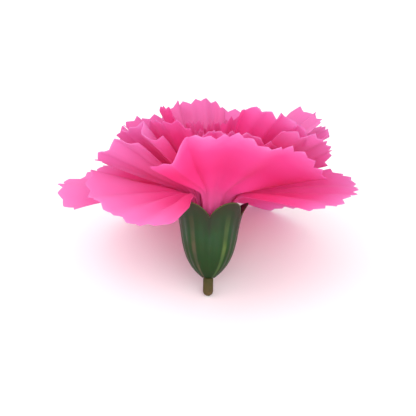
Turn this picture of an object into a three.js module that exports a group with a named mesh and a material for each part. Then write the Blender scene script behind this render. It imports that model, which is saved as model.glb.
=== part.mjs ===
// An artificial carnation head, 76 mm across: six die-cut fabric rosettes threaded on a moulded pin,
// kept apart by small rings and gathered by a moulded green calyx cup with five rounded lobes.
// It is modelled upright on +Z from the tip of its peg, with azimuth 0 towards -Y, and is then laid
// down as it comes to rest on a table: on the tip of the peg and on petals of the outer rosette.
// Lengths are in millimetres. Angles are in degrees unless a name or comment says otherwise.
import * as THREE from "three";
import { mergeVertices } from "three/addons/utils/BufferGeometryUtils.js";

// The moulded pin: a round peg below the calyx, a thinner shaft inside it and a flat button on top.
const PEG_RADIUS = 1.3;
const PEG_LENGTH = 4.6;
const SHAFT_RADIUS = 0.9;
const BUTTON_HEIGHT = 0.8;
const CLEARANCE = 0.3;

// The calyx cup swells above its base and flares at the lobes.
const CALYX_HEIGHT = 19.2;
const CALYX_BASE_RADIUS = 1.6;
const CALYX_SWELL = 6.0;
const CALYX_SWELL_HEIGHT = 4.6;
const CALYX_FLARE = 2.6;
const CALYX_WALL = 0.7;
const CALYX_FLOOR = 1.4;
const LOBE_COUNT = 5;
const LOBE_DEPTH = 3.9;

// The rosettes and the rings that hold them apart.
const PETAL_LENGTH = 31;
const FABRIC = 0.25;
const HUB_PITCH = 1.6;
const HUB_LAND = 0.5;
const HUB_BEND = 0.5;
const FIRST_HUB_ABOVE_CALYX_BASE = 3.9;
const MOUTH_BELOW_LOBE_TIPS = 1.3;
const OUTER_MOUTH_RADIUS = 6.3;
const MOUTH_STEP = 0.75;
const CLAW_SHARE = 0.84;
const TOOTH_DEPTH = 1.2;
const COMMON_WAVE = 3;

const calyxBase = PEG_LENGTH;
const mouthHeight = calyxBase + CALYX_HEIGHT - MOUTH_BELOW_LOBE_TIPS;
const firstHub = calyxBase + FIRST_HUB_ABOVE_CALYX_BASE;
const boreRadius = SHAFT_RADIUS + CLEARANCE;
const buttonRadius = boreRadius + CLEARANCE;
const innerFootRadius = boreRadius + HUB_LAND + HUB_BEND;
const ringRadius = innerFootRadius - CLEARANCE;

// Each rosette, from the outermost in. "turn" is how far beyond the calyx its petals take to reach their
// lean, and "curl" how much further they lean at the rim. "ruffle" is the swing of the rim's waves, and
// "waves" their number on a petal. A petal's row gives the azimuth of its middle, its half width as an
// angle, its lean from the axis, its roll (how much more its far side leans than its middle), its crown
// (how much more both sides lean than the middle) and its length beyond the calyx in petal lengths.
const ROSETTES = [
  {
    turn: 6, curl: 9, ruffle: 2.5, waves: 2.3, columns: 12,
    petals: [
      { at: 19, half: 43, lean: 57, roll: 6, crown: 11, long: 0.99 },
      { at: 86, half: 22, lean: 82, roll: -12, crown: -2, long: 1.08 },
      { at: 144, half: 30, lean: 92, roll: 0, crown: -3, long: 1 },
      { at: 205, half: 28, lean: 92, roll: 0, crown: -3, long: 1 },
      { at: 260, half: 23, lean: 84, roll: 6, crown: 7, long: 1.12 },
      { at: 313, half: 22, lean: 98, roll: 10, crown: -8, long: 1 },
    ],
  },
  {
    turn: 8, curl: 4, ruffle: 2.5, waves: 2.8, columns: 12,
    petals: [
      { at: 294, half: 17, lean: 67, roll: -8, crown: 1, long: 0.93 },
      { at: 19, half: 28, lean: 46, roll: 2, crown: 3, long: 0.81 },
      { at: 76, half: 27, lean: 61, roll: 8, crown: 0, long: 0.99 },
      { at: 131, half: 26, lean: 70, roll: 2, crown: 0, long: 1 },
      { at: 187, half: 28, lean: 73, roll: 0, crown: 0, long: 1 },
      { at: 243, half: 28, lean: 72, roll: 9, crown: 0, long: 0.92 },
    ],
  },
  {
    turn: 9, curl: 3, ruffle: 3, waves: 2.6, columns: 12,
    petals: [
      { at: 8, half: 16, lean: 37, roll: -2, crown: 0, long: 0.73 },
      { at: 47, half: 20, lean: 43, roll: 9, crown: 0, long: 0.99 },
      { at: 105, half: 26, lean: 53, roll: -5, crown: 0, long: 1.08 },
      { at: 162, half: 29, lean: 57, roll: 0, crown: 0, long: 1 },
      { at: 224, half: 30, lean: 55, roll: 0, crown: 0, long: 0.95 },
      { at: 296, half: 28, lean: 50, roll: -8, crown: 0, long: 0.9 },
    ],
  },
  {
    turn: 9, curl: 2, ruffle: 3, waves: 2.4, columns: 10,
    petals: [
      { at: 20, half: 34, lean: 28, roll: 1, crown: 0, long: 0.65 },
      { at: 92, half: 20, lean: 46, roll: -9, crown: 0, long: 1.1 },
      { at: 164, half: 34, lean: 38, roll: 0, crown: 0, long: 0.97 },
      { at: 236, half: 34, lean: 41, roll: 3, crown: 2, long: 0.95 },
      { at: 306, half: 32, lean: 37, roll: -3, crown: 0, long: 0.83 },
    ],
  },
  {
    turn: 9, curl: 1, ruffle: 2.5, waves: 2, columns: 10,
    petals: [
      { at: 344, half: 34, lean: 16, roll: 0, crown: 0, long: 0.61 },
      { at: 56, half: 34, lean: 18, roll: 2, crown: 0, long: 0.78 },
      { at: 128, half: 34, lean: 25, roll: 0, crown: 0, long: 0.9 },
      { at: 200, half: 34, lean: 22, roll: 0, crown: 0, long: 0.96 },
      { at: 272, half: 34, lean: 23, roll: -2, crown: 0, long: 0.88 },
    ],
  },
  {
    turn: 9, curl: 0, ruffle: 2, waves: 1.5, columns: 8,
    petals: [
      { at: 20, half: 34, lean: 5, roll: 0, crown: 0, long: 0.6 },
      { at: 92, half: 34, lean: 7, roll: 0, crown: 0, long: 0.66 },
      { at: 164, half: 34, lean: 10, roll: 0, crown: 0, long: 0.72 },
      { at: 236, half: 34, lean: 9, roll: 0, crown: 0, long: 0.72 },
      { at: 308, half: 34, lean: 6, roll: 0, crown: 0, long: 0.64 },
    ],
  },
];

const inRadians = THREE.MathUtils.degToRad;
const smooth = (share) => THREE.MathUtils.smoothstep(share, 0, 1);

function standard(color, roughness) {
  return new THREE.MeshStandardMaterial({ color, roughness, metalness: 0 });
}

const petalPink = standard(0xf2509a, 0.85);
const calyxGreen = standard(0x3f5c38, 0.45);
const pegOlive = standard(0x6b6044, 0.5);
const ringWhite = standard(0xe8e4dc, 0.6);

function named(name, geometry, material) {
  const mesh = new THREE.Mesh(geometry, material);
  mesh.name = name;
  return mesh;
}

// A point at a radius, a height and an azimuth, which runs from -Y towards +X.
function around(radius, height, azimuth) {
  const angle = inRadians(azimuth);
  return new THREE.Vector3(radius * Math.sin(angle), -radius * Math.cos(angle), height);
}

// A solid from corner points and triangles that index them, with its shared points made one.
function solid(points, triangles) {
  const geometry = new THREE.BufferGeometry().setFromPoints(points);
  geometry.setIndex(triangles);
  const merged = mergeVertices(geometry, 1e-4);
  merged.computeVertexNormals();
  return merged;
}

// A turned solid about +Z. Its outline of [radius, height] points runs up the outside.
function turned(outline, segments) {
  const points = outline.map(([radius, height]) => new THREE.Vector2(radius, height));
  return new THREE.LatheGeometry(points, segments).rotateX(Math.PI / 2);
}

// The pin, from the tip of its round peg to the top of the button above the innermost hub.
function pinGeometry() {
  const outline = [];
  const arcSteps = 6;
  for (let step = 0; step <= arcSteps; step += 1) {
    const angle = (Math.PI / 2) * (step / arcSteps);
    outline.push([PEG_RADIUS * Math.sin(angle), PEG_RADIUS * (1 - Math.cos(angle))]);
  }
  const shoulder = calyxBase - CLEARANCE;
  const button = firstHub + (ROSETTES.length - 1) * HUB_PITCH + FABRIC / 2 + CLEARANCE;
  outline.push([PEG_RADIUS, shoulder], [SHAFT_RADIUS, shoulder]);
  outline.push([SHAFT_RADIUS, button], [buttonRadius, button]);
  outline.push([buttonRadius, button + BUTTON_HEIGHT / 2], [buttonRadius - 0.4, button + BUTTON_HEIGHT]);
  outline.push([0, button + BUTTON_HEIGHT]);
  return turned(outline, 20);
}

// A ring on the shaft between two heights.
function ringGeometry(bottom, top) {
  const outline = [
    [boreRadius, bottom],
    [ringRadius, bottom],
    [ringRadius, top],
    [boreRadius, top],
    [boreRadius, bottom],
  ];
  return turned(outline, 20);
}

// The calyx's outer radius at a height above its base.
function calyxRadius(height) {
  const swell = CALYX_SWELL * (1 - Math.exp(-height / CALYX_SWELL_HEIGHT));
  return CALYX_BASE_RADIUS + swell + CALYX_FLARE * (height / CALYX_HEIGHT) ** 6;
}

// How high the calyx's rim stands at an azimuth: rounded lobes with sharp notches between them.
function rimHeight(azimuth) {
  const lobe = Math.abs(Math.sin(inRadians((LOBE_COUNT * azimuth) / 2)));
  return CALYX_HEIGHT - LOBE_DEPTH * (1 - lobe ** 0.75);
}

// The calyx as rings of points: across the base, up the outside, over the rim, down the inside and
// across the floor to the hole for the pin.
function calyxGeometry() {
  const columns = 60;
  const outerRows = 9;
  const innerRows = 6;
  const rings = [() => [boreRadius, 0]];
  for (let row = 0; row <= outerRows; row += 1) {
    const share = (row / outerRows) ** 1.5;
    rings.push((rim) => [calyxRadius(rim * share), rim * share]);
  }
  for (let row = innerRows; row >= 0; row -= 1) {
    const share = row / innerRows;
    rings.push((rim) => {
      const height = CALYX_FLOOR + (rim - CALYX_FLOOR) * share;
      return [calyxRadius(height) - CALYX_WALL, height];
    });
  }
  rings.push(() => [boreRadius, CALYX_FLOOR]);

  const points = [];
  for (const ring of rings) {
    for (let column = 0; column < columns; column += 1) {
      const azimuth = (360 * column) / columns;
      const [radius, height] = ring(rimHeight(azimuth));
      points.push(around(radius, calyxBase + height, azimuth));
    }
  }
  const triangles = [];
  for (let row = 0; row < rings.length; row += 1) {
    const lower = row * columns;
    const upper = ((row + 1) % rings.length) * columns;
    for (let column = 0; column < columns; column += 1) {
      const next = (column + 1) % columns;
      triangles.push(lower + column, lower + next, upper + next);
      triangles.push(lower + column, upper + next, upper + column);
    }
  }
  return solid(points, triangles);
}

// The outermost rosette's claws start as far out as the calyx leaves room.
const outerFootRadius = calyxRadius(FIRST_HUB_ABOVE_CALYX_BASE) - CALYX_WALL - FABRIC - CLEARANCE;

// The heights and radii that a rosette's claws pass on their way from its hub to the calyx's mouth.
function tubeOf(index) {
  const hub = firstHub + index * HUB_PITCH;
  const foot = THREE.MathUtils.lerp(outerFootRadius, innerFootRadius, index / (ROSETTES.length - 1));
  const mouth = OUTER_MOUTH_RADIUS - index * MOUTH_STEP;
  const lean = THREE.MathUtils.radToDeg(Math.atan2(mouth - foot, mouthHeight - hub - HUB_BEND));
  return { hub, foot, mouth, lean };
}

// A wave that all the rosettes share, so that they ripple together without meeting.
function commonWave(azimuth) {
  return COMMON_WAVE * (0.6 * Math.sin(inRadians(3 * azimuth + 35)) + 0.4 * Math.sin(inRadians(7 * azimuth + 120)));
}

// The azimuths where a petal's claw meets its neighbours' on the hub.
function rootsOf(petals, order) {
  const petal = petals[order];
  const before = petals[(order + petals.length - 1) % petals.length];
  const after = petals[(order + 1) % petals.length];
  const signed = (angle) => THREE.MathUtils.euclideanModulo(angle + 180, 360) - 180;
  const left = petal.at - petal.half - signed(petal.at - petal.half - before.at - before.half) / 2;
  const right = petal.at + petal.half + signed(after.at - after.half - petal.at - petal.half) / 2;
  return { left, right };
}

// The azimuth of a petal's claw at "side", which runs from -1 to 1 across the petal.
function clawAzimuth(petals, order, side) {
  const { left, right } = rootsOf(petals, order);
  return (left + right) / 2 + (CLAW_SHARE * side * (right - left)) / 2;
}

// The point of a petal at a side and a distance beyond the mouth. Its outline is found by following the
// cloth outwards, leaning more as it goes.
function petalPoint(index, order, side, distance) {
  const rosette = ROSETTES[index];
  const petal = rosette.petals[order];
  const tube = tubeOf(index);
  const full = petal.long * PETAL_LENGTH;
  const share = distance / full;
  const claw = clawAzimuth(rosette.petals, order, side);
  const corner = 1 - 0.06 * smooth((share - 0.8) / 0.2);
  const azimuth = THREE.MathUtils.lerp(claw, petal.at + petal.half * side * corner, smooth((share - 0.05) / 0.45));
  const goal = petal.lean + petal.roll * side + petal.crown * side * side;
  const phase = 2.4 * order + 1.1 * index;
  const broad = Math.sin(Math.PI * rosette.waves * side + phase);
  const narrow = Math.sin(1.7 * Math.PI * rosette.waves * side + 2 * phase);
  const ripple = rosette.ruffle * (0.7 * broad + 0.3 * narrow);
  const steps = 16;
  let radius = tube.mouth;
  let height = mouthHeight;
  for (let step = 0; step < steps; step += 1) {
    const reached = (distance * (step + 0.5)) / steps;
    const along = reached / full;
    const turning = tube.lean + (goal - tube.lean) * smooth(reached / rosette.turn);
    const lean = turning + rosette.curl * along ** 2 + (ripple + commonWave(azimuth)) * along ** 1.4;
    radius += (distance / steps) * Math.sin(inRadians(lean));
    height += (distance / steps) * Math.cos(inRadians(lean));
  }
  return around(radius, height, azimuth);
}

// A petal's length beyond the mouth at "side": round-shouldered, with every other column notched.
function petalLength(petal, side, notched) {
  const rounded = petal.long * PETAL_LENGTH * (1 - 0.1 * Math.abs(side) ** 4);
  return notched ? rounded - TOOTH_DEPTH : rounded;
}

// A rosette: a holed hub, six or five claws that rise through the calyx, and their petals beyond it.
function rosetteGeometry(index) {
  const { petals, columns } = ROSETTES[index];
  const tube = tubeOf(index);
  const bladeRows = 7;
  const points = [];
  const triangles = [];

  petals.forEach((petal, order) => {
    const { left, right } = rootsOf(petals, order);

    // The cloth's middle surface, with the direction its upper side faces, at a row and a column.
    const surface = (row, column) => {
      const side = (2 * column) / columns - 1;
      const claw = clawAzimuth(petals, order, side);
      const root = THREE.MathUtils.lerp(left, right, (side + 1) / 2);
      const leanNormal = (lean, azimuth) => around(-Math.cos(inRadians(lean)), Math.sin(inRadians(lean)), azimuth);
      if (row === 0) return { at: around(boreRadius, tube.hub, root), up: new THREE.Vector3(0, 0, 1) };
      if (row === 1) return { at: around(tube.foot - HUB_BEND, tube.hub, root), up: leanNormal(67, root) };
      if (row === 2) return { at: around(tube.foot, tube.hub + HUB_BEND, claw), up: leanNormal(25, claw) };
      const length = petalLength(petal, side, column % 2 === 1);
      const distance = (length * (row - 3)) / bladeRows;
      const at = petalPoint(index, order, side, distance);
      const outwards = petalPoint(index, order, side, distance + 0.2).sub(at);
      const across = petalPoint(index, order, side + 0.02, distance).sub(at);
      return { at, up: outwards.cross(across).normalize() };
    };

    const rows = 3 + bladeRows;
    const first = points.length;
    for (let row = 0; row <= rows; row += 1) {
      for (let column = 0; column <= columns; column += 1) {
        const { at, up } = surface(row, column);
        points.push(at.clone().addScaledVector(up, FABRIC / 2));
        points.push(at.clone().addScaledVector(up, -FABRIC / 2));
      }
    }
    const top = (row, column) => first + 2 * (row * (columns + 1) + column);
    const under = (row, column) => top(row, column) + 1;
    const quad = (a, b, c, d) => triangles.push(a, c, b, a, d, c);
    for (let row = rows - 1; row >= 0; row -= 1) {
      for (let column = 0; column < columns; column += 1) {
        const far = column + 1;
        quad(top(row, column), top(row, far), top(row + 1, far), top(row + 1, column));
        quad(under(row, column), under(row + 1, column), under(row + 1, far), under(row, far));
      }
    }
    for (let row = 1; row < rows; row += 1) {
      quad(top(row, 0), top(row + 1, 0), under(row + 1, 0), under(row, 0));
      quad(top(row, columns), under(row, columns), under(row + 1, columns), top(row + 1, columns));
    }
    for (let column = 0; column < columns; column += 1) {
      quad(top(rows, column), top(rows, column + 1), under(rows, column + 1), under(rows, column));
      quad(top(0, column), under(0, column), under(0, column + 1), top(0, column + 1));
    }
  });
  return solid(points, triangles);
}

const flower = new THREE.Group();
flower.add(named("core_pin", pinGeometry(), pegOlive));
flower.add(named("calyx", calyxGeometry(), calyxGreen));
ROSETTES.forEach((rosette, index) => {
  flower.add(named(`petal_layer_${index + 1}`, rosetteGeometry(index), petalPink));
  const top = firstHub + index * HUB_PITCH - FABRIC / 2 - CLEARANCE;
  const bottom = index === 0 ? calyxBase + CALYX_FLOOR + CLEARANCE : top - HUB_PITCH + FABRIC + 2 * CLEARANCE;
  const name = index === 0 ? "hub_sleeve" : `hub_washer_${index}`;
  flower.add(named(name, ringGeometry(bottom, top), ringWhite));
});

// The table as the flower sees it when it lies on its back: the plane that touches the peg's tip and the
// lowest petals to the left and right behind it. Returns the direction that points up from the table.
function restingUp() {
  const corners = [];
  flower.children.forEach((mesh) => {
    const position = mesh.geometry.attributes.position;
    for (let point = 0; point < position.count; point += 1) {
      corners.push(new THREE.Vector3().fromBufferAttribute(position, point));
    }
  });
  const lowest = (up, belongs) => {
    const candidates = corners.filter(belongs);
    return candidates.reduce((best, corner) => (corner.dot(up) < best.dot(up) ? corner : best));
  };
  let up = new THREE.Vector3(0, -0.6, 0.8);
  for (let round = 0; round < 12; round += 1) {
    const peg = lowest(up, (corner) => corner.z < PEG_RADIUS);
    const right = lowest(up, (corner) => corner.y > 0 && corner.x > 4);
    const left = lowest(up, (corner) => corner.y > 0 && corner.x < -4);
    up = right.clone().sub(peg).cross(left.clone().sub(peg)).normalize();
  }
  return up;
}

flower.quaternion.setFromUnitVectors(restingUp(), new THREE.Vector3(0, 0, 1));
flower.updateMatrixWorld(true);
const bounds = new THREE.Box3().setFromObject(flower, true);
flower.position.set(-(bounds.min.x + bounds.max.x) / 2, -(bounds.min.y + bounds.max.y) / 2, -bounds.min.z);

const carnation = new THREE.Group();
carnation.add(flower);

export default carnation;
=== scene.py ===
import math

import bpy
import numpy as np
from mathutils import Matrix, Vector


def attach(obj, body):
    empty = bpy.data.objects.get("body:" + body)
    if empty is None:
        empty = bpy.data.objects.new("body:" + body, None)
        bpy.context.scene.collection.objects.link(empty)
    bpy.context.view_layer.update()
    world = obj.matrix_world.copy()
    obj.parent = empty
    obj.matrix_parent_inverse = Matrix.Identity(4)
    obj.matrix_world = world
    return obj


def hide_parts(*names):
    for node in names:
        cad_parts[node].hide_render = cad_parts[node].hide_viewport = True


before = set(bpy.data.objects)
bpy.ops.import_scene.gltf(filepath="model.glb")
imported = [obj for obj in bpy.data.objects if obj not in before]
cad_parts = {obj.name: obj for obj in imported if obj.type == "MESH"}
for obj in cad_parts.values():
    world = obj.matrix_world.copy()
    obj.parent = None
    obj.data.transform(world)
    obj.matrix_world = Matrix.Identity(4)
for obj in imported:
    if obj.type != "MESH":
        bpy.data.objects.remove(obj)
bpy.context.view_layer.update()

# --- The pin --------------------------------------------------------------------------------------
# One moulding of olive-brown plastic: a round-ended peg below the calyx, a thinner shaft that the
# rosettes are threaded on, and a flat button that keeps them there. Its surface is faintly mottled.

PEG_RADIUS = 1.3
PEG_LENGTH = 4.6
SHAFT_RADIUS = 0.9
CLEARANCE = 0.3
HUB_PITCH = 1.6
FIRST_HUB_ABOVE_CALYX_BASE = 3.9
FIRST_HUB = PEG_LENGTH + FIRST_HUB_ABOVE_CALYX_BASE
LAYERS = 6
FABRIC = 0.25
BORE_RADIUS = SHAFT_RADIUS + CLEARANCE
BUTTON_RADIUS = BORE_RADIUS + CLEARANCE
BUTTON_HEIGHT = 0.8
SHOULDER_ROUNDING = 0.15
SHOULDER_GAP = 0.05
PIN_SEGMENTS = 48


def resting_place():
    """The flower's turn and the place of its peg's tip, read off the CAD pin: its long axis is the line
    of most spread through its points, and its tip is the lowest point along that axis."""
    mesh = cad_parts["core_pin"].data
    points = np.empty(len(mesh.vertices) * 3)
    mesh.vertices.foreach_get("co", points)
    points = points.reshape(-1, 3)
    axis = np.linalg.svd(points - points.mean(0), full_matrices=False)[2][0]
    axis *= np.sign(axis[2])
    turn = Vector((0, 0, 1)).rotation_difference(Vector(axis)).to_matrix()
    return np.array(turn), points[np.argmin(points @ axis)]


TURN, PEG_TIP = resting_place()


def placed(points):
    """Points of the flower's frame, in millimetres, as metres in the frame that it lies in."""
    return points @ TURN.T / 1000 + PEG_TIP


def around(radius, height, azimuth):
    """Points at a radius and height, at azimuths in degrees from -Y towards +X."""
    angle = np.radians(azimuth)
    return np.stack(np.broadcast_arrays(radius * np.sin(angle), -radius * np.cos(angle), height), -1)


def grid_quads(rows, columns, wrap_rows=False, wrap_columns=False):
    """Faces of a grid whose points run along each row, joined round where a direction wraps."""
    row = np.arange(rows if wrap_rows else rows - 1)[:, None]
    column = np.arange(columns if wrap_columns else columns - 1)[None, :]
    above = (row + 1) % rows
    beside = (column + 1) % columns
    corners = [
        row * columns + column, row * columns + beside, above * columns + beside, above * columns + column,
    ]
    return np.stack(np.broadcast_arrays(*corners), -1).reshape(-1, 4)


def new_piece(name, lying, faces, **attributes):
    """A smooth mesh object from points where they lie, in metres. Each attribute holds a value a point."""
    mesh = bpy.data.meshes.new(name)
    mesh.from_pydata(lying.tolist(), [], faces)
    for key, values in attributes.items():
        attribute = mesh.attributes.new(key, "FLOAT", "POINT")
        attribute.data.foreach_set("value", np.asarray(values, float).ravel())
    mesh.polygons.foreach_set("use_smooth", np.ones(len(mesh.polygons), bool))
    mesh.update()
    piece = bpy.data.objects.new(name, mesh)
    bpy.context.collection.objects.link(piece)
    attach(piece, "root")
    return piece


def new_material(name, roughness, **sockets):
    """A material with one Principled shader. Returns it with its nodes, its links and that shader."""
    material = bpy.data.materials.new(name)
    material.use_nodes = True
    tree = material.node_tree
    shader = tree.nodes["Principled BSDF"]
    shader.inputs["Roughness"].default_value = roughness
    for key, value in sockets.items():
        shader.inputs[key.replace("_", " ")].default_value = value
    return material, tree.nodes, tree.links, shader


def ramp(nodes, stops):
    """A colour ramp node from (position, (red, green, blue)) stops in linear colour."""
    node = nodes.new("ShaderNodeValToRGB")
    elements = node.color_ramp.elements
    while len(elements) < len(stops):
        elements.new(1.0)
    for element, (position, colour) in zip(elements, stops):
        element.position = position
        element.color = (*colour, 1)
    return node


def attribute_value(nodes, name):
    """The output of a piece's own attribute."""
    node = nodes.new("ShaderNodeAttribute")
    node.attribute_name = name
    return node.outputs["Fac"]


def mix_colour(nodes, links, factor, first, second, blend_type="MIX"):
    """The output of a colour Mix node. Each colour is three numbers or another node's output."""
    node = nodes.new("ShaderNodeMix")
    node.data_type = "RGBA"
    node.blend_type = blend_type
    for key, value in (("Factor", factor), ("A", first), ("B", second)):
        if isinstance(value, (int, float)):
            node.inputs[key].default_value = value
        elif isinstance(value, tuple):
            node.inputs[key].default_value = (*value, 1)
        else:
            links.new(value, node.inputs[key])
    return node.outputs["Result"]


def mottle_group():
    """Cloudy noise on a piece's object coordinates, as a value and a colour, at a scale and a detail."""
    group = bpy.data.node_groups.new("mottle", "ShaderNodeTree")
    group.interface.new_socket("Scale", in_out="INPUT", socket_type="NodeSocketFloat")
    group.interface.new_socket("Detail", in_out="INPUT", socket_type="NodeSocketFloat")
    group.interface.new_socket("Value", in_out="OUTPUT", socket_type="NodeSocketFloat")
    group.interface.new_socket("Color", in_out="OUTPUT", socket_type="NodeSocketColor")
    given = group.nodes.new("NodeGroupInput")
    result = group.nodes.new("NodeGroupOutput")
    coords = group.nodes.new("ShaderNodeTexCoord")
    noise = group.nodes.new("ShaderNodeTexNoise")
    group.links.new(coords.outputs["Object"], noise.inputs["Vector"])
    group.links.new(given.outputs["Scale"], noise.inputs["Scale"])
    group.links.new(given.outputs["Detail"], noise.inputs["Detail"])
    group.links.new(noise.outputs["Fac"], result.inputs["Value"])
    group.links.new(noise.outputs["Color"], result.inputs["Color"])
    return group


MOTTLE = mottle_group()


def mottled(nodes, scale, detail):
    """The mottle placed in a material, with its own scale and detail."""
    node = nodes.new("ShaderNodeGroup")
    node.node_tree = MOTTLE
    node.inputs["Scale"].default_value = scale
    node.inputs["Detail"].default_value = detail
    return node


def raised(nodes, links, shader, height, strength, distance):
    """Bumps on a shader's normal from a height, at a strength and a distance in metres."""
    bump = nodes.new("ShaderNodeBump")
    bump.inputs["Strength"].default_value = strength
    bump.inputs["Distance"].default_value = distance
    links.new(height, bump.inputs["Height"])
    links.new(bump.outputs["Normal"], shader.inputs["Normal"])


def turned(outline, segments):
    """Points and faces of a solid turned about the axis. The outline is radii and heights up the
    outside, starting and ending on the axis at one point each, which a fan of triangles closes."""
    azimuth = np.linspace(0, 360, segments, endpoint=False)
    rings = np.array(outline[1:-1])
    points = around(rings[:, :1], rings[:, 1:], azimuth[None, :]).reshape(-1, 3)
    faces = grid_quads(len(rings), segments, wrap_columns=True).tolist()
    low, high = len(points), len(points) + 1
    poles = np.array([[0, 0, outline[0][1]], [0, 0, outline[-1][1]]])
    first = np.arange(segments)
    last = first + (len(rings) - 1) * segments
    faces += [(low, int(b), int(a)) for a, b in zip(first, np.roll(first, -1))]
    faces += [(high, int(a), int(b)) for a, b in zip(last, np.roll(last, -1))]
    return np.vstack([points, poles]), faces


def pin_outline():
    """Radii and heights: a hemisphere, the peg, a shoulder, the shaft and a button with rounded edges."""
    bend = np.radians(np.linspace(0, 90, 14))
    outline = [(PEG_RADIUS * math.sin(a), PEG_RADIUS * (1 - math.cos(a))) for a in bend]
    shoulder = PEG_LENGTH - SHOULDER_GAP
    button = FIRST_HUB + (LAYERS - 1) * HUB_PITCH + FABRIC / 2 + CLEARANCE
    top = button + BUTTON_HEIGHT
    outline += [(PEG_RADIUS, h) for h in np.linspace(PEG_RADIUS, shoulder - SHOULDER_ROUNDING, 8)[1:]]
    outline += [(PEG_RADIUS - SHOULDER_ROUNDING, shoulder), (SHAFT_RADIUS, shoulder), (SHAFT_RADIUS, button)]
    outline += [(BUTTON_RADIUS - 0.1, button), (BUTTON_RADIUS, button + 0.1), (BUTTON_RADIUS, top - 0.3)]
    return outline + [(BUTTON_RADIUS - 0.1, top - 0.1), (BUTTON_RADIUS - 0.3, top), (0, top)]


points, faces = turned(pin_outline(), PIN_SEGMENTS)
pin = new_piece("moulded_pin", placed(points), faces, height=points[:, 2] / PEG_LENGTH)
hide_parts("core_pin")

material, nodes, links, shader = new_material("olive_plastic", 0.55, Specular_IOR_Level=0.18)
olive = ramp(nodes, [
    (0.0, (0.105, 0.066, 0.026)), (0.35, (0.070, 0.052, 0.014)), (1.0, (0.050, 0.047, 0.010)),
])
links.new(attribute_value(nodes, "height"), olive.inputs["Fac"])
mottle = mottled(nodes, 900, 4)
colour = mix_colour(nodes, links, 0.35, olive.outputs["Color"], mottle.outputs["Value"], "OVERLAY")
links.new(colour, shader.inputs["Base Color"])
raised(nodes, links, shader, mottle.outputs["Value"], 0.25, 0.0002)
pin.data.materials.append(material)

# --- The calyx ------------------------------------------------------------------------------------
# A thin cup moulded in dark green plastic, open at the top in five rounded lobes with sharp notches
# between them, and holed at the bottom for the pin. A pale stripe is printed up the middle of each lobe.

CALYX_HEIGHT = 19.2
CALYX_BASE_RADIUS = 1.6
CALYX_SWELL = 6.0
CALYX_SWELL_HEIGHT = 4.6
CALYX_FLARE = 2.6
CALYX_WALL = 0.7
CALYX_FLOOR = 1.4
LOBE_COUNT = 5
LOBE_DEPTH = 3.9
RIB_HEIGHT = 0.22
FINE_RIB_HEIGHT = 0.10
RIM_THINNING = 0.45
LIP_HEIGHT = 0.08
CALYX_COLUMNS = 360


def calyx_radius(height):
    """Outer radius: a swell that dies away exponentially from the base, and a flare near the lobes."""
    swell = CALYX_SWELL * (1 - np.exp(-height / CALYX_SWELL_HEIGHT))
    return CALYX_BASE_RADIUS + swell + CALYX_FLARE * (height / CALYX_HEIGHT) ** 6


def rim_height(azimuth):
    """The rim's height: the 0.75 power of a rectified sine, so lobes are round and notches sharp."""
    lobe = np.abs(np.sin(np.radians(LOBE_COUNT * azimuth / 2)))
    return CALYX_HEIGHT - LOBE_DEPTH * (1 - lobe ** 0.75)


def rim_wall(share):
    """The wall's thickness at a share of the height: constant, then thinner over the last fifth."""
    return CALYX_WALL - RIM_THINNING * np.clip((share - 0.8) / 0.2, 0, 1)


def calyx_shell(outer_rows=56, inner_rows=30):
    """Rings of points from the bore's edge across the base, up the outside with a shallow rib along each
    lobe's middle and a groove below each notch, round the thinned rim, and down the inside. Returns the
    points, their row count, and each point's place on its lobe, share of the height, depth below the rim
    and side of the cup."""
    azimuth = np.linspace(0, 360, CALYX_COLUMNS, endpoint=False)[None, :]
    rim = rim_height(azimuth)
    lobe = np.abs(np.sin(np.radians(LOBE_COUNT * azimuth / 2)))
    share = np.linspace(0, 1, outer_rows)[:, None] ** 1.3
    height = rim * share
    rib = RIB_HEIGHT * (lobe ** 2 - 0.5) * np.sin(np.pi * np.clip(share * 1.05, 0, 1)) ** 0.7
    rib += FINE_RIB_HEIGHT * np.cos(np.radians(LOBE_COUNT * 3 * azimuth)) * np.sin(np.pi * share)
    outside = calyx_radius(height) + rib
    inner = np.linspace(1, 0, inner_rows)[:, None]
    inner_height = CALYX_FLOOR + (rim - CALYX_FLOOR) * inner
    inside = calyx_radius(inner_height) + rib[-1:] * inner - rim_wall(inner)
    ring = np.ones_like(azimuth)
    lip = (outside[-1:] + inside[:1]) / 2
    radii = np.vstack([ring * BORE_RADIUS, outside, lip, inside, ring * BORE_RADIUS])
    heights = np.vstack([ring * 0, height, rim + LIP_HEIGHT, inner_height, ring * CALYX_FLOOR])
    points = around(radii, PEG_LENGTH + heights, azimuth)
    along = np.clip(heights / rim, 0, 1)
    warm = np.broadcast_to(0.5 - 0.5 * np.sin(np.radians(azimuth)), radii.shape)
    return points.reshape(-1, 3), len(radii), np.broadcast_to(lobe, radii.shape), along, rim - heights, warm


points, rows, lobe, along, below_rim, warm = calyx_shell()
faces = grid_quads(rows, CALYX_COLUMNS, wrap_rows=True, wrap_columns=True).tolist()
calyx = new_piece("calyx_cup", placed(points), faces, lobe=lobe, along=along, below_rim=below_rim, warm=warm)
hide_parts("calyx")


def math_node(nodes, links, operation, *values):
    """The output of a Math node. Each value is a number or another node's output."""
    node = nodes.new("ShaderNodeMath")
    node.operation = operation
    for socket, value in zip(node.inputs, values):
        if isinstance(value, (int, float)):
            socket.default_value = value
        else:
            links.new(value, socket)
    return node.outputs[0]


def map_range(nodes, links, value, low, high, to_low=0.0, to_high=1.0):
    """A value's smooth step from low to high, as to_low to to_high."""
    node = nodes.new("ShaderNodeMapRange")
    node.interpolation_type = "SMOOTHSTEP"
    for key, number in zip(("From Min", "From Max", "To Min", "To Max"), (low, high, to_low, to_high)):
        node.inputs[key].default_value = number
    links.new(value, node.inputs["Value"])
    return node.outputs["Result"]


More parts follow.
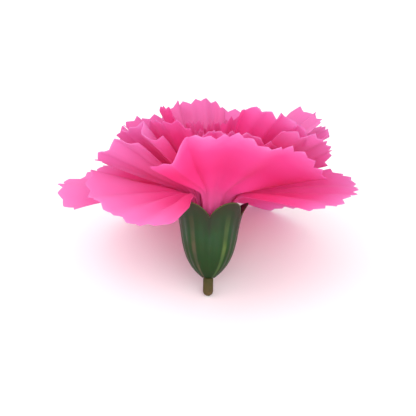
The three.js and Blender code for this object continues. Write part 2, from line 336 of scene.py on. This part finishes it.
material, nodes, links, shader = new_material("green_plastic", 0.42, Specular_IOR_Level=0.16)
lobe_value = attribute_value(nodes, "lobe")
along_value = attribute_value(nodes, "along")
streak = mottled(nodes, 260, 5)
streak_value = streak.outputs["Value"]
green = ramp(nodes, [
    (0.0, (0.010, 0.028, 0.004)), (0.3, (0.014, 0.042, 0.008)), (0.62, (0.019, 0.055, 0.017)),
    (0.85, (0.022, 0.036, 0.014)), (1.0, (0.032, 0.022, 0.012)),
])
links.new(along_value, green.inputs["Fac"])

# The stripe runs up each lobe's middle, fades below the rim, and is tan on one side of the cup and
# yellow-green on the other.
stripe = map_range(nodes, links, lobe_value, 0.955, 0.998)
stripe = math_node(nodes, links, "MULTIPLY", stripe, map_range(nodes, links, along_value, 0.92, 0.55))
patchy = map_range(nodes, links, streak_value, 0.3, 0.7, 0.45, 0.95)
stripe = math_node(nodes, links, "MULTIPLY", stripe, patchy)
tan_side = map_range(nodes, links, attribute_value(nodes, "warm"), 0.45, 0.7)
stripe_colour = mix_colour(nodes, links, tan_side, (0.085, 0.130, 0.036), (0.088, 0.076, 0.040))
colour = mix_colour(nodes, links, stripe, green.outputs["Color"], stripe_colour)

# The rim's edge is paler, and painted shade darkens the groove that runs down from each notch.
edge = map_range(nodes, links, attribute_value(nodes, "below_rim"), 0.38, 0.05)
edge = math_node(nodes, links, "MULTIPLY", edge, 0.75)
colour = mix_colour(nodes, links, edge, colour, (0.10, 0.11, 0.03))
# Painted shade: a dark line in the groove below each notch, fading out lower down.
groove_shade = map_range(nodes, links, lobe_value, 0.22, 0.0, 0.0, 0.5)
groove_shade = math_node(nodes, links, "MULTIPLY", groove_shade, map_range(nodes, links, along_value, 0.45, 0.9))
colour = mix_colour(nodes, links, groove_shade, colour, (0.012, 0.022, 0.008))
colour = mix_colour(nodes, links, 0.3, colour, streak.outputs["Color"], "OVERLAY")
links.new(colour, shader.inputs["Base Color"])
links.new(map_range(nodes, links, streak_value, 0.3, 0.7, 0.34, 0.52), shader.inputs["Roughness"])
raised(nodes, links, shader, streak_value, 0.3, 0.0003)
calyx.data.materials.append(material)

# --- The rings on the pin -------------------------------------------------------------------------
# A sleeve and five washers of off-white plastic that keep the rosettes' hubs apart. Their CAD shape is
# right, so they only take a material: a faintly mottled moulded plastic.

material, nodes, links, shader = new_material("white_plastic", 0.55)
white = ramp(nodes, [(0.3, (0.66, 0.63, 0.56)), (0.7, (0.80, 0.78, 0.72))])
links.new(mottled(nodes, 700, 2).outputs["Value"], white.inputs["Fac"])
links.new(white.outputs["Color"], shader.inputs["Base Color"])
for name in ["hub_sleeve"] + [f"hub_washer_{number}" for number in range(1, LAYERS)]:
    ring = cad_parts[name]
    ring.data.materials.clear()
    ring.data.materials.append(material)

# --- The rosettes ---------------------------------------------------------------------------------
# Six rosettes are die-cut with pinked edges from pink woven polyester, heat-formed into waves, holed and
# threaded on the pin. Their claws rise through the calyx and their petals lean out over its lobes.

# CLAW_SHARE is how much of its room on the hub a claw fills, and each rosette's claws pass MOUTH_STEP
# inside the last one's at the calyx's mouth. Petals reach OVERLAP degrees over their neighbours at each
# side, and PINWHEEL degrees of roll tuck one side under. FLUTTER is each rosette's share of rim flutter.
PETAL_LENGTH = 31
HUB_BEND = 0.5
HUB_LAND = 0.5
MOUTH_BELOW_LOBE_TIPS = 1.3
MOUTH = PEG_LENGTH + CALYX_HEIGHT - MOUTH_BELOW_LOBE_TIPS
OUTER_MOUTH_RADIUS = 6.3
MOUTH_STEP = 0.75
CLAW_SHARE = 0.84
COMMON_WAVE = 3
CLOTH = 0.16
TOOTH_PITCH = 3.1
TOOTH_DEPTH = 1.35
TOOTH_COLUMNS = 8
LEAST_RIM_WIDTH = 19
PLEAT_DEPTH = 0.2
THREAD_PITCH = 0.42
OVERLAP = 4
PINWHEEL = 3
FLUTTER = (1.0, 0.9, 0.8, 0.7, 0.7, 0.7)
PATH_STEPS = 24
LEAST_AREA_SHARE = 0.31
INNER_FOOT = BORE_RADIUS + HUB_LAND + HUB_BEND
OUTER_FOOT = calyx_radius(FIRST_HUB - PEG_LENGTH) - CALYX_WALL - FABRIC - CLEARANCE

# A rosette's turn (the millimetres that its petals take to reach their lean), its curl at the rim and its
# ruffle in degrees, and its waves. Then each petal's azimuth, half width, lean from the axis, roll across
# it and crown, all in degrees, and its length in petal lengths.
ROSETTES = [
    (6, 9, 2.5, 2.3, [
        (19, 45, 56, 6, 12, 0.99), (78, 30, 86, -14, -4, 1.08), (144, 30, 92, 0, -3, 1.0),
        (205, 28, 92, 0, -3, 1.0), (260, 23, 82, 6, 6, 1.12), (315, 25, 99, 12, -9, 1.0),
    ]),
    (8, 4, 2.5, 2.8, [
        (294, 17, 67, -8, 1, 0.93), (19, 28, 46, 2, 3, 0.81), (78, 30, 61, 8, 0, 0.99),
        (129, 28, 70, 2, 0, 1.0), (187, 28, 73, 0, 0, 1.0), (243, 28, 72, 9, 0, 0.92),
    ]),
    (9, 3, 3, 2.6, [
        (10, 22, 37, -2, 0, 0.73), (47, 20, 43, 9, 0, 0.99), (105, 26, 53, -5, 0, 1.08),
        (162, 29, 57, 0, 0, 1.0), (224, 30, 55, 0, 0, 0.95), (296, 28, 49, -8, 0, 0.9),
    ]),
    (9, 2, 3, 2.4, [
        (20, 34, 28, 1, 0, 0.65), (92, 20, 48, -12, 0, 1.1), (164, 34, 38, 0, 0, 1.03),
        (236, 34, 41, 3, 2, 0.95), (306, 32, 37, -3, 0, 0.83),
    ]),
    (9, 1, 2.5, 2, [
        (344, 34, 16, 0, 0, 0.61), (56, 34, 18, 2, 0, 0.78), (128, 34, 25, 0, 0, 0.9),
        (200, 34, 22, 0, 0, 0.96), (272, 34, 23, -2, 0, 0.88),
    ]),
    (9, 0, 2, 1.5, [
        (20, 34, 5, 0, 0, 0.6), (92, 34, 7, 0, 0, 0.66), (164, 34, 10, 0, 0, 0.72),
        (236, 34, 9, 0, 0, 0.72), (308, 34, 6, 0, 0, 0.64),
    ]),
]

# Creases that fold a petal's side down, or up where the angle is negative, from a line along it: the
# rosette and petal, the side from -1 to 1 where the fold starts, and its angle in degrees.
FOLDS = {
    (0, 0): (-0.66, 16), (1, 0): (0.2, -5), (2, 1): (0.6, 6), (2, 2): (-0.5, 6), (2, 5): (0.45, 10),
}

# How much paler some petals are, from 0 to 1: partly their own tone, partly painted light on the lit left
# side.
PALE_TONE_AND_PAINTED_LIGHT = {
    (0, 1): 0.3, (0, 4): 1.0, (0, 5): 0.9, (1, 0): 1.0, (1, 2): 0.4, (2, 2): 0.8, (2, 5): 0.5,
    (3, 1): 1.0, (3, 2): 0.8, (3, 3): 0.4, (4, 2): 0.8, (4, 3): 1.0,
}

# How much deeper the teeth are cut along some rims.
DEEPER = {(0, 0): 1.5, (4, 2): 1.4}


def smooth(share):
    """Smooth step of a share from 0 to 1."""
    share = np.clip(share, 0, 1)
    return share * share * (3 - 2 * share)


def common_wave(azimuth):
    """A wave in degrees of lean that all the rosettes share, so that they ripple without meeting."""
    broad = np.sin(np.radians(3 * azimuth + 35))
    narrow = np.sin(np.radians(7 * azimuth + 120))
    return COMMON_WAVE * (0.6 * broad + 0.4 * narrow)


def petal_roots(petals, order):
    """The azimuths where a petal's claw meets its neighbours' on the hub, halfway between them."""
    at, half = petals[order][:2]
    before = petals[order - 1]
    after = petals[(order + 1) % len(petals)]
    gap_before = (at - half - before[0] - before[1] + 180) % 360 - 180
    gap_after = (after[0] - after[1] - at - half + 180) % 360 - 180
    return at - half - gap_before / 2, at + half + gap_after / 2


def petal_blade(index, order, side, distance):
    """Points of a petal beyond the calyx, at a side from -1 to 1 and a distance along the cloth. The
    cloth's lean grows from the tube's to the petal's own, with a roll and crown across it, a curl and
    waves that grow towards the rim, and the path is the running sum of short steps at that lean. Pleats
    push it in and out, deepest a third of the way along."""
    turn, curl, ruffle, waves, petals = ROSETTES[index]
    at, half, lean, roll, crown, long = petals[order]
    left, right = petal_roots(petals, order)
    _, mouth, tube_lean = tube(index)
    full = long * PETAL_LENGTH
    share = distance / full
    claw = (left + right) / 2 + CLAW_SHARE * side * (right - left) / 2
    corner = 1 - 0.06 * smooth((share - 0.8) / 0.2)
    azimuth = claw + (at + (half + OVERLAP) * side * corner - claw) * smooth((share - 0.05) / 0.45)
    goal = lean + (roll + PINWHEEL) * side + crown * side ** 2
    crease, fold = FOLDS.get((index, order), (1, 0))
    goal = goal + fold * smooth((side * np.sign(crease) - abs(crease)) / 0.12)
    phase = 2.4 * order + 1.1 * index
    broad = np.sin(np.pi * waves * side + phase)
    narrow = np.sin(1.7 * np.pi * waves * side + 2 * phase)
    ripple = ruffle * (0.7 * broad + 0.3 * narrow)
    reached = distance[..., None] * (np.arange(PATH_STEPS) + 0.5) / PATH_STEPS
    along = reached / full
    turning = tube_lean + (goal[..., None] - tube_lean) * smooth(reached / turn)
    waving = (ripple + common_wave(azimuth))[..., None] * along ** 1.4
    fine = rim_flutter(index, order, side)[..., None] * along ** 5
    bent = np.radians(turning + curl * along ** 2 + waving + fine)
    step = distance / PATH_STEPS
    depth = PLEAT_DEPTH + 0.4 * smooth(share / 0.35) - 0.25 * smooth((share - 0.4) / 0.6)
    fold_out = depth * pleats(index, order, side)
    radius = mouth + (step[..., None] * np.sin(bent)).sum(-1) + fold_out * np.cos(bent[..., -1])
    height = MOUTH + (step[..., None] * np.cos(bent)).sum(-1) - fold_out * np.sin(bent[..., -1])
    return around(radius, height, azimuth)


def pleats(index, order, side):
    """The pleats that a petal is gathered in, from -1 to 1: a sine of three or four waves across it."""
    count = 3 + (order + index) % 2
    return np.sin(np.pi * count * side + 1.7 * order + 0.9 * index)


def rim_flutter(index, order, side):
    """The sum of three quick sine waves, in degrees, that only the last part of a petal takes, as its cut
    edge curls. Their heights and phases are drawn once for each petal."""
    seed = np.random.default_rng(100 * index + order)
    total = np.zeros_like(side)
    for count, amount in ((3.1, 6), (5.3, 5), (8.2, 3)):
        amount *= FLUTTER[index] * seed.uniform(0.6, 1.3)
        total += amount * np.sin(np.pi * count * side / 2 + seed.uniform(0, 6.28))
    return total


def tube(index):
    """A rosette's radii at its hub's bend and at the calyx's mouth, and its claws' lean in degrees."""
    foot = OUTER_FOOT + (INNER_FOOT - OUTER_FOOT) * index / (LAYERS - 1)
    mouth = OUTER_MOUTH_RADIUS - index * MOUTH_STEP
    hub = FIRST_HUB + index * HUB_PITCH
    return foot, mouth, math.degrees(math.atan2(mouth - foot, MOUTH - hub - HUB_BEND))


def rosette(index):
    """A rosette's middle surface as one grid a petal: two rows on the hub that neighbours share, the bend
    and the straight claw, then the blade, whose last rows swing in and out with the pinked teeth.
    Returns points, faces, cloth coordinates in metres, reach from mouth to rim, and a petal shade."""
    petals = ROSETTES[index][4]
    foot, mouth, tube_lean = tube(index)
    hub = FIRST_HUB + index * HUB_PITCH
    all_points, all_faces, all_cloth, all_reach, all_shade = [], [], [], [], []
    start = 0
    for order, (_, half, lean, _, _, long) in enumerate(petals):
        full = long * PETAL_LENGTH
        rim_width = 2 * math.radians(half) * (mouth + 0.85 * full * math.sin(math.radians(lean)))
        teeth = round(max(rim_width, LEAST_RIM_WIDTH) / TOOTH_PITCH)
        columns = teeth * TOOTH_COLUMNS
        side = np.linspace(-1, 1, columns + 1)[None, :]
        left, right = petal_roots(petals, order)
        root = left + (right - left) * (side + 1) / 2
        claw = (left + right) / 2 + CLAW_SHARE * side * (right - left) / 2
        bend = np.radians(np.linspace(0, 90, 6))[1:, None]
        bend_radius = foot - HUB_BEND + HUB_BEND * np.sin(bend)
        bend_height = hub + HUB_BEND * (1 - np.cos(bend))
        climb = np.linspace(0, 1, 12)[1:-1, None]
        spread = root + (claw - root) * np.linspace(0, 1, len(bend))[:, None]
        lower = [
            around(BORE_RADIUS, hub, root),
            around(foot - HUB_BEND, hub, root),
            around(bend_radius, bend_height, spread),
            around(
                foot + (mouth - foot) * climb + PLEAT_DEPTH * climb * pleats(index, order, side),
                hub + HUB_BEND + (MOUTH - hub - HUB_BEND) * climb, claw,
            ),
        ]
        rounded = full * (1 - 0.1 * np.abs(side) ** 4)
        tooth = np.abs((np.arange(columns + 1) / TOOTH_COLUMNS) % 1 - 0.5) * 2
        share = np.linspace(0, 1, 52)[:, None]
        uneven = np.random.default_rng(10 * index + order).uniform(0.55, 1.2, teeth + 1)
        uneven = uneven[np.arange(columns + 1) // TOOTH_COLUMNS]
        deep = TOOTH_DEPTH * DEEPER.get((index, order), 1)
        cut = deep * uneven * (1 - tooth) * smooth((share - 0.86) / 0.14)
        distance = rounded * share - cut
        blade = petal_blade(index, order, np.broadcast_to(side, distance.shape), distance)
        points = np.vstack([*lower, blade])
        rows = len(points)
        flat = np.vstack([
            np.broadcast_to(BORE_RADIUS, (1, 1)), np.broadcast_to(foot - HUB_BEND, (1, 1)),
            foot - HUB_BEND + HUB_BEND * bend, foot + (MOUTH - hub) * climb,
        ]) * np.ones_like(side)
        flat = np.vstack([flat, foot + MOUTH - hub + distance])
        turn = np.radians(root)
        all_cloth.append(np.stack([flat * np.sin(turn), flat * np.cos(turn)], -1).reshape(-1, 2) / 1000)
        reach = np.vstack([np.zeros((rows - len(share), columns + 1)), distance / full])
        all_reach.append(reach.ravel())
        all_shade.append(np.full(points.shape[:2], PALE_TONE_AND_PAINTED_LIGHT.get((index, order), 0.0)).ravel())
        all_points.append(points.reshape(-1, 3))
        all_faces.append(grid_quads(rows, columns + 1) + start)
        start += rows * (columns + 1)
    return [np.concatenate(part) for part in (all_points, all_faces, all_cloth, all_reach, all_shade)]


def welded(points, faces):
    """The numbers of the points to keep, one for each place, and the faces renumbered to them."""
    _, first, inverse = np.unique(np.round(points, 4), axis=0, return_index=True, return_inverse=True)
    return first, inverse.reshape(-1)[faces]


def rosette_piece(index):
    """A rosette as a sheet of cloth with its thickness, its lowest rims pressed flat on the floor."""
    points, faces, cloth, reach, shade = rosette(index)
    kept, joined = welded(points, faces)
    lying = placed(points[kept])
    lying[:, 2] = np.maximum(lying[:, 2], CLOTH / 2000)
    heart = np.full(len(kept), index / (LAYERS - 1))
    piece = new_piece(
        f"rosette_{index + 1}", lying, joined[:, ::-1].tolist(),
        reach=reach[kept], shade=shade[kept], heart=heart,
    )
    mesh = piece.data
    layer = mesh.uv_layers.new(name="cloth")
    layer.data.foreach_set("uv", cloth[faces[:, ::-1].ravel()].ravel())
    thickness = piece.modifiers.new("thickness", "SOLIDIFY")
    thickness.thickness = CLOTH / 1000
    thickness.offset = 0
    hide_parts(f"petal_layer_{index + 1}")
    area = sum(polygon.area for polygon in mesh.polygons)
    width, length = np.ptp(cloth, axis=0)
    area = max(area, LEAST_AREA_SHARE * width * length)
    return piece


def weave_group():
    """A plain weave on cloth coordinates: a height that is the product of two sine waves, one along each
    thread direction, which Threads gives the speed of in radians a metre."""
    group = bpy.data.node_groups.new("plain_weave", "ShaderNodeTree")
    group.interface.new_socket("Vector", in_out="INPUT", socket_type="NodeSocketVector")
    group.interface.new_socket("Threads", in_out="INPUT", socket_type="NodeSocketFloat")
    group.interface.new_socket("Height", in_out="OUTPUT", socket_type="NodeSocketFloat")
    nodes, links = group.nodes, group.links
    given = nodes.new("NodeGroupInput")
    result = nodes.new("NodeGroupOutput")
    parts = nodes.new("ShaderNodeSeparateXYZ")
    links.new(given.outputs["Vector"], parts.inputs["Vector"])
    waves = []
    for axis in ("X", "Y"):
        turns = math_node(nodes, links, "MULTIPLY", parts.outputs[axis], given.outputs["Threads"])
        waves.append(math_node(nodes, links, "SINE", turns))
    product = math_node(nodes, links, "MULTIPLY", *waves)
    links.new(math_node(nodes, links, "MULTIPLY_ADD", product, 0.5, 0.5), result.inputs["Height"])
    return group


material, nodes, links, shader = new_material("pink_cloth", 0.8, Specular_IOR_Level=0.12)
shader.inputs["Sheen Weight"].default_value = 0.12
shader.inputs["Sheen Roughness"].default_value = 0.45
shader.inputs["Sheen Tint"].default_value = (1.0, 0.72, 0.86, 1)
cloth = nodes.new("ShaderNodeUVMap")
cloth.uv_map = "cloth"
weave = nodes.new("ShaderNodeGroup")
weave.node_tree = weave_group()
weave.inputs["Threads"].default_value = 2000 * math.pi / THREAD_PITCH
links.new(cloth.outputs["UV"], weave.inputs["Vector"])

# The pink deepens from the roots to halfway and pales to the rim, and it wanders in patches. The inner
# rosettes are drawn deeper.
wander = math_node(nodes, links, "MULTIPLY_ADD", mottled(nodes, 95, 3).outputs["Value"], 0.3, -0.15)
depth = math_node(nodes, links, "ADD", attribute_value(nodes, "reach"), wander)
inner = map_range(nodes, links, attribute_value(nodes, "heart"), 0.3, 1.0, 1.0, 0.85)
depth = math_node(nodes, links, "MULTIPLY", depth, inner)
pink = ramp(nodes, [
    (0.0, (0.92, 0.150, 0.45)), (0.2, (0.92, 0.060, 0.34)), (0.5, (0.87, 0.034, 0.275)),
    (0.75, (0.86, 0.070, 0.36)), (0.92, (0.85, 0.180, 0.53)), (1.0, (0.84, 0.29, 0.65)),
])
links.new(depth, pink.inputs["Fac"])
# The weave's raised threads are drawn up to 8% paler pink, a painted highlight on the thread crowns.
thread_highlight = map_range(nodes, links, weave.outputs["Height"], 0.0, 1.0, 0.0, 0.08)
colour = mix_colour(nodes, links, thread_highlight, pink.outputs["Color"], (0.98, 0.45, 0.70))
# Petals with a shade value are mixed towards a paler pink, most towards their rims: partly their own tone,
# partly painted light on the lit left side.
outer = map_range(nodes, links, depth, 0.1, 0.95)
pale_tone_and_light = math_node(nodes, links, "MULTIPLY", attribute_value(nodes, "shade"), outer)
pale_tone_and_light = math_node(nodes, links, "MULTIPLY", pale_tone_and_light, 0.7)
colour = mix_colour(nodes, links, pale_tone_and_light, colour, (0.84, 0.32, 0.66))
links.new(colour, shader.inputs["Base Color"])
raised(nodes, links, shader, weave.outputs["Height"], 0.25, 0.00012)

# Light comes through the thin cloth a paler pink.
glow = nodes.new("ShaderNodeBsdfTranslucent")
links.new(mix_colour(nodes, links, 0.55, colour, (1.0, 0.32, 0.64)), glow.inputs["Color"])
through = nodes.new("ShaderNodeMixShader")
through.inputs["Fac"].default_value = 0.48
links.new(shader.outputs["BSDF"], through.inputs[1])
links.new(glow.outputs["BSDF"], through.inputs[2])
links.new(through.outputs["Shader"], nodes["Material Output"].inputs["Surface"])

for index in range(LAYERS):
    rosette_piece(index).data.materials.append(material)

# --- Floor, light and camera ----------------------------------------------------------------------
# A plain pale floor and soft studio light. The camera looks square on to the flower's axis, which leans
# back as it lies, so it looks down on the flower.

FLOOR_REACH = 3
floor_corners = [(x * FLOOR_REACH, y * FLOOR_REACH, 0) for x, y in ((-1, -1), (1, -1), (1, 1), (-1, 1))]
floor_mesh = bpy.data.meshes.new("floor")
floor_mesh.from_pydata(floor_corners, [], [(0, 1, 2, 3)])
floor = bpy.data.objects.new("floor", floor_mesh)
bpy.context.collection.objects.link(floor)
material, nodes, links, shader = new_material("pale_floor", 0.9, Specular_IOR_Level=0.1)
shader.inputs["Base Color"].default_value = (0.9, 0.9, 0.9, 1)
floor.data.materials.append(material)

world = bpy.data.worlds.new("studio")
world.use_nodes = True
world.node_tree.nodes["Background"].inputs["Color"].default_value = (1, 1, 1, 1)
world.node_tree.nodes["Background"].inputs["Strength"].default_value = 1.12
bpy.context.scene.world = world

# Each lamp's name, place in millimetres in the flower's frame, size in metres and power in watts. All
# of them face the flower's middle.
FLOWER_MIDDLE = (0.0, 0.0, 25.0)
LAMPS = [
    ("key", (-480, -220, 400), 0.5, 1.5),
    ("fill", (420, -380, 200), 0.6, 0.6),
    ("low", (60, -560, -60), 0.5, 1.2),
]
middle = Vector(placed(np.array(FLOWER_MIDDLE)))
for name, place, size, power in LAMPS:
    lamp = bpy.data.lights.new(name, "AREA")
    lamp.size = size
    lamp.energy = power
    light = bpy.data.objects.new(name, lamp)
    light.location = placed(np.array(place, float))
    light.rotation_euler = (middle - light.location).to_track_quat("-Z", "Y").to_euler()
    bpy.context.collection.objects.link(light)

# The camera's distance and the width that it sees there are in metres, and its aim in millimetres.
CAMERA_DISTANCE = 0.6
FRAME_WIDTH = 0.1057
SENSOR_WIDTH = 36
AIM = (-0.5, 0.0, 22.3)
lens = bpy.data.cameras.new("camera")
lens.sensor_width = SENSOR_WIDTH
lens.lens = SENSOR_WIDTH * CAMERA_DISTANCE / FRAME_WIDTH
camera = bpy.data.objects.new("camera", lens)
aim = Vector(placed(np.array(AIM)))
towards = Vector(TURN @ np.array([0.0, -1.0, 0.0]))
camera.location = aim + towards * CAMERA_DISTANCE
camera.rotation_euler = (-towards).to_track_quat("-Z", "Y").to_euler()
bpy.context.collection.objects.link(camera)
bpy.context.scene.camera = camera
bpy.context.scene.view_settings.view_transform = "Standard"
